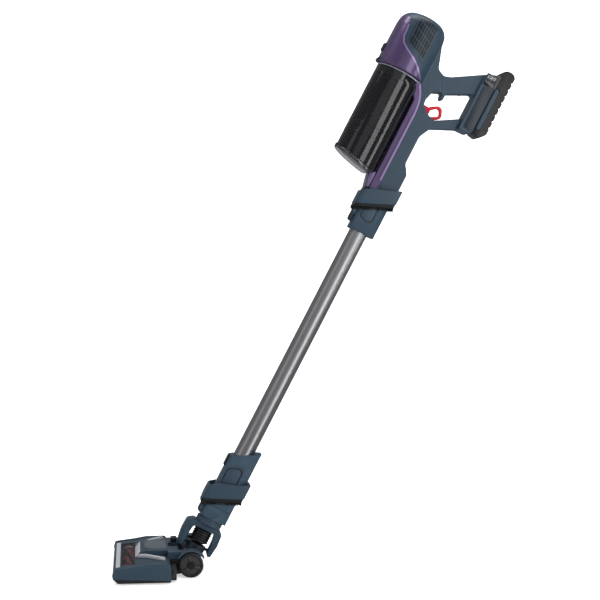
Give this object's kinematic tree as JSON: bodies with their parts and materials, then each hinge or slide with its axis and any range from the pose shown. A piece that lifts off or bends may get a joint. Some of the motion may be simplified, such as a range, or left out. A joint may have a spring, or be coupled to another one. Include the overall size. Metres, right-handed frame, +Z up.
{
  "type": "cordless stick vacuum",
  "caption": "Handheld vacuum unit with clear dust bin and battery on a steel tube, with a swivel neck and a powered floor head on two wheels.",
  "frame": {"origin": "middle of the hand grip on the middle plane, where a hand holds the machine up; the floor is 0.8944 m below it", "axes": "+Z up, -X towards the nose of the floor head, +X towards the user, +Y to the machine's left"},
  "size_m": [0.7444, 0.25, 1.0309],
  "materials": {
    "blue_grey": "satin",
    "navy": "satin",
    "purple": "metallic lacquer",
    "black": "satin",
    "gloss_black": "gloss",
    "smoke": "smoke-clear plastic",
    "clear": "clear plastic",
    "steel": "brushed",
    "metal": "cast",
    "red": "satin",
    "bristle": "nylon tufts",
    "brush_red": "nylon tufts",
    "rubber": "matte",
    "white": "satin",
    "silver": "translucent grey",
    "foam": "foam",
    "board": "matte",
    "cell": "sleeve"
  },
  "bodies": {
    "handheld": {"handle_shell_left": "blue_grey", "handle_shell_right": "blue_grey", "front_cover": "purple", "nozzle": "navy", "motor_can": "metal", "motor_filter": "foam", "vent_grille": "navy", "control_panel": "gloss_black", "trigger_pin": "steel", "trigger_switch": "black", "main_board": "board", "bin_hook": "black"},
    "impeller": {"impeller": "metal"},
    "power_key": {"power_key": "navy"},
    "mode_key": {"mode_key": "navy"},
    "trigger": {"trigger": "red"},
    "bin_release": {"bin_release": "navy"},
    "dust_bin": {"bin_shell": "smoke", "cyclone_shroud": "black", "cyclone_cone": "black", "cyclone_collar": "gloss_black"},
    "bin_lid": {"bin_lid": "clear"},
    "battery": {"battery_case": "black", "battery_cells_left": "cell", "battery_cells_right": "cell"},
    "clip_left": {"battery_clip_left": "blue_grey"},
    "clip_right": {"battery_clip_right": "blue_grey"},
    "upper_brush": {"upper_brush_band": "blue_grey", "upper_bristles": "bristle"},
    "tube": {"tube": "steel", "tube_upper_fitting": "blue_grey", "tube_lower_fitting": "blue_grey"},
    "upper_latch": {"upper_latch": "navy"},
    "lower_brush": {"lower_brush_band": "blue_grey", "lower_bristles": "bristle"},
    "neck": {"neck_coupling": "blue_grey", "yoke": "blue_grey", "hose": "rubber"},
    "lower_latch": {"lower_latch": "navy"},
    "cradle": {"cradle": "navy"},
    "floor_head": {"head_base": "navy", "head_cover": "blue_grey", "side_panel_left": "blue_grey", "side_panel_right": "blue_grey", "brush_window": "clear", "light_strip": "white", "trim_arm_left": "white", "trim_arm_right": "white", "trim_front": "white", "middle_panel": "silver", "wheel_axle": "steel", "brush_motor": "metal", "drive_belt": "rubber"},
    "brush_latch": {"brush_latch": "black"},
    "brush_roll": {"brush_roll": "brush_red"},
    "motor_pulley": {"motor_pulley": "black"},
    "wheel_left": {"wheel_left": "rubber"},
    "wheel_right": {"wheel_right": "rubber"},
    "roller_left": {"roller_left": "rubber"},
    "roller_right": {"roller_right": "rubber"}
  },
  "joints": [
    {"name": "bin_removal", "type": "slide", "parent": "handheld", "child": "dust_bin", "axis": [-0.887, 0, 0.4617], "range_m": [0, 0.11]},
    {"name": "lid_hinge", "type": "hinge", "parent": "dust_bin", "child": "bin_lid", "pos_m": [-0.18041, 0, -0.16031], "axis": [0, -1, 0], "range_deg": [0, 75]},
    {"name": "impeller_spin", "type": "hinge", "parent": "handheld", "child": "impeller", "pos_m": [-0.10107, 0, 0.05599], "axis": [0.4617, 0, 0.887], "continuous": true},
    {"name": "trigger_pull", "type": "hinge", "parent": "handheld", "child": "trigger", "pos_m": [-0.07359, 0, -0.04174], "axis": [0, -1, 0], "range_deg": [0, 6], "stiffness_Nm_per_rad": 0.5},
    {"name": "power_key_press", "type": "slide", "parent": "handheld", "child": "power_key", "axis": [0, 1, 0], "range_m": [0, 0.0015], "stiffness_N_per_m": 600},
    {"name": "mode_key_press", "type": "slide", "parent": "handheld", "child": "mode_key", "axis": [0, 1, 0], "range_m": [0, 0.0015], "stiffness_N_per_m": 600},
    {"name": "bin_release_press", "type": "slide", "parent": "handheld", "child": "bin_release", "axis": [0.887, 0, -0.4617], "range_m": [0, 0.002], "stiffness_N_per_m": 900},
    {"name": "battery_removal", "type": "slide", "parent": "handheld", "child": "battery", "axis": [0.887, 0, -0.4617], "range_m": [0, 0.06]},
    {"name": "clip_left_press", "type": "slide", "parent": "battery", "child": "clip_left", "axis": [0, -1, 0], "range_m": [0, 0.0008], "stiffness_N_per_m": 1500},
    {"name": "clip_right_press", "type": "slide", "parent": "battery", "child": "clip_right", "axis": [0, 1, 0], "range_m": [0, 0.0008], "stiffness_N_per_m": 1500},
    {"name": "upper_brush_slide", "type": "slide", "parent": "handheld", "child": "upper_brush", "axis": [-0.4617, 0, -0.887], "range_m": [0, 0.028]},
    {"name": "tube_removal", "type": "slide", "parent": "handheld", "child": "tube", "axis": [-0.4617, 0, -0.887], "range_m": [0, 0.05]},
    {"name": "upper_latch_lift", "type": "hinge", "parent": "tube", "child": "upper_latch", "pos_m": [-0.20399, 0, -0.23203], "axis": [0, 1, 0], "range_deg": [0, 6], "stiffness_Nm_per_rad": 0.4},
    {"name": "lower_brush_slide", "type": "slide", "parent": "tube", "child": "lower_brush", "axis": [-0.4617, 0, -0.887], "range_m": [0, 0.028]},
    {"name": "head_removal", "type": "slide", "parent": "tube", "child": "neck", "axis": [-0.4617, 0, -0.887], "range_m": [0, 0.04]},
    {"name": "lower_latch_lift", "type": "hinge", "parent": "neck", "child": "lower_latch", "pos_m": [-0.48889, 0, -0.77931], "axis": [0, 1, 0], "range_deg": [0, 6], "stiffness_Nm_per_rad": 0.4},
    {"name": "neck_roll", "type": "hinge", "parent": "neck", "child": "cradle", "pos_m": [-0.49917, 0, -0.85062], "axis": [0.887, 0, -0.4617], "range_deg": [-30, 30], "deforming": ["hose"]},
    {"name": "head_pitch", "type": "hinge", "parent": "cradle", "child": "floor_head", "pos_m": [-0.51026, 0, -0.87191], "axis": [0, 1, 0], "range_deg": [-50, 20]},
    {"name": "brush_latch_slide", "type": "slide", "parent": "floor_head", "child": "brush_latch", "axis": [0, 1, 0], "range_m": [0, 0.004]},
    {"name": "brush_spin", "type": "hinge", "parent": "floor_head", "child": "brush_roll", "pos_m": [-0.62126, 0, -0.87991], "axis": [0, 1, 0], "continuous": true},
    {"name": "pulley_spin", "type": "hinge", "parent": "floor_head", "child": "motor_pulley", "pos_m": [-0.58025, 0.112, -0.87441], "axis": [0, 1, 0], "continuous": true},
    {"name": "wheel_left_spin", "type": "hinge", "parent": "floor_head", "child": "wheel_left", "pos_m": [-0.51026, 0.0735, -0.87191], "axis": [0, 1, 0], "continuous": true},
    {"name": "wheel_right_spin", "type": "hinge", "parent": "floor_head", "child": "wheel_right", "pos_m": [-0.51026, -0.0735, -0.87191], "axis": [0, 1, 0], "continuous": true},
    {"name": "roller_left_spin", "type": "hinge", "parent": "floor_head", "child": "roller_left", "pos_m": [-0.60025, 0.07, -0.88941], "axis": [0, 1, 0], "continuous": true},
    {"name": "roller_right_spin", "type": "hinge", "parent": "floor_head", "child": "roller_right", "pos_m": [-0.60025, -0.07, -0.88941], "axis": [0, 1, 0], "continuous": true}
  ],
  "couplings": [
    {"joint": "pulley_spin", "follows": "brush_spin", "ratio": 1.25}
  ]
}
